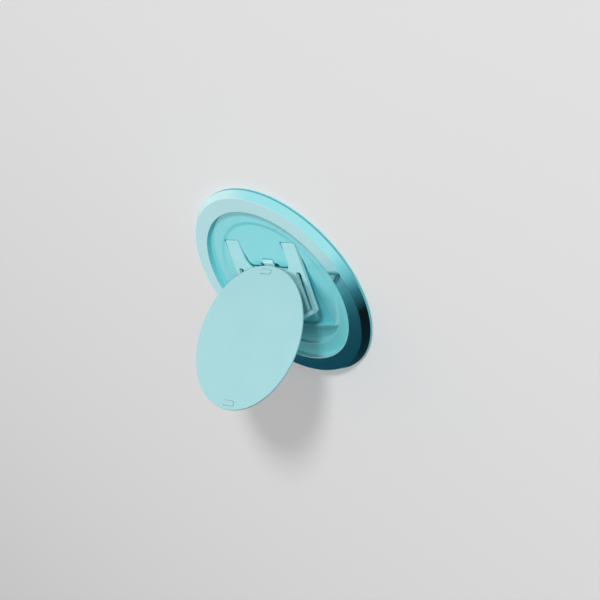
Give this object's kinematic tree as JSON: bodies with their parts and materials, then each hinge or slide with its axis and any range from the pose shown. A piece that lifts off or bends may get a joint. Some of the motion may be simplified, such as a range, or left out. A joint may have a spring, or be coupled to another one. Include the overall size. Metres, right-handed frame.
{
  "type": "phone grip",
  "caption": "Thin round magnetic phone grip: a recessed base ring holds a hinged arm, props and a disc that fold flat or open as a finger grip and stand.",
  "frame": {"origin": "centre of the back face that sits on the phone", "axes": "+Z away from the phone, +Y from the centre towards the arm's hinge, +X along the hinge axes"},
  "size_m": [0.056, 0.056, 0.0326],
  "materials": {
    "ring": "satin light cyan, bead-blasted and anodised",
    "tray": "satin light cyan paint",
    "disc": "satin light cyan paint",
    "link": "satin light cyan paint",
    "back": "satin cyan paint",
    "steel": "ground steel",
    "magnet": "nickel plate"
  },
  "bodies": {
    "base": {"outer_ring": "ring", "tray_plate": "tray", "back_plate": "back", "magnet_segments": "magnet", "arm_pin_left": "steel", "arm_pin_right": "steel"},
    "arm": {"arm_frame": "link", "prop_pin_left": "steel", "prop_pin_right": "steel"},
    "prop": {"prop_strut_left": "link", "prop_strut_right": "link"},
    "disc": {"disc_plate": "disc", "hinge_bracket_left": "link", "hinge_bracket_right": "link", "disc_pin_left": "steel", "disc_pin_right": "steel"}
  },
  "joints": [
    {"name": "arm_fold", "type": "hinge", "parent": "base", "child": "arm", "pos_m": [0, 0.0124, 0.0009], "axis": [1, 0, 0], "range_deg": [0, 9]},
    {"name": "prop_fold", "type": "hinge", "parent": "arm", "child": "prop", "pos_m": [0, -0.00597, 0.00381], "axis": [1, 0, 0], "range_deg": [-85.99, 0]},
    {"name": "disc_fold", "type": "hinge", "parent": "prop", "child": "disc", "pos_m": [0, -0.00374, 0.01348], "axis": [1, 0, 0], "range_deg": [0, 131.41]}
  ],
  "couplings": [
    {"joint": "arm_fold", "follows": "prop_fold", "ratio": -0.10466},
    {"joint": "disc_fold", "follows": "prop_fold", "ratio": -1.5282}
  ]
}
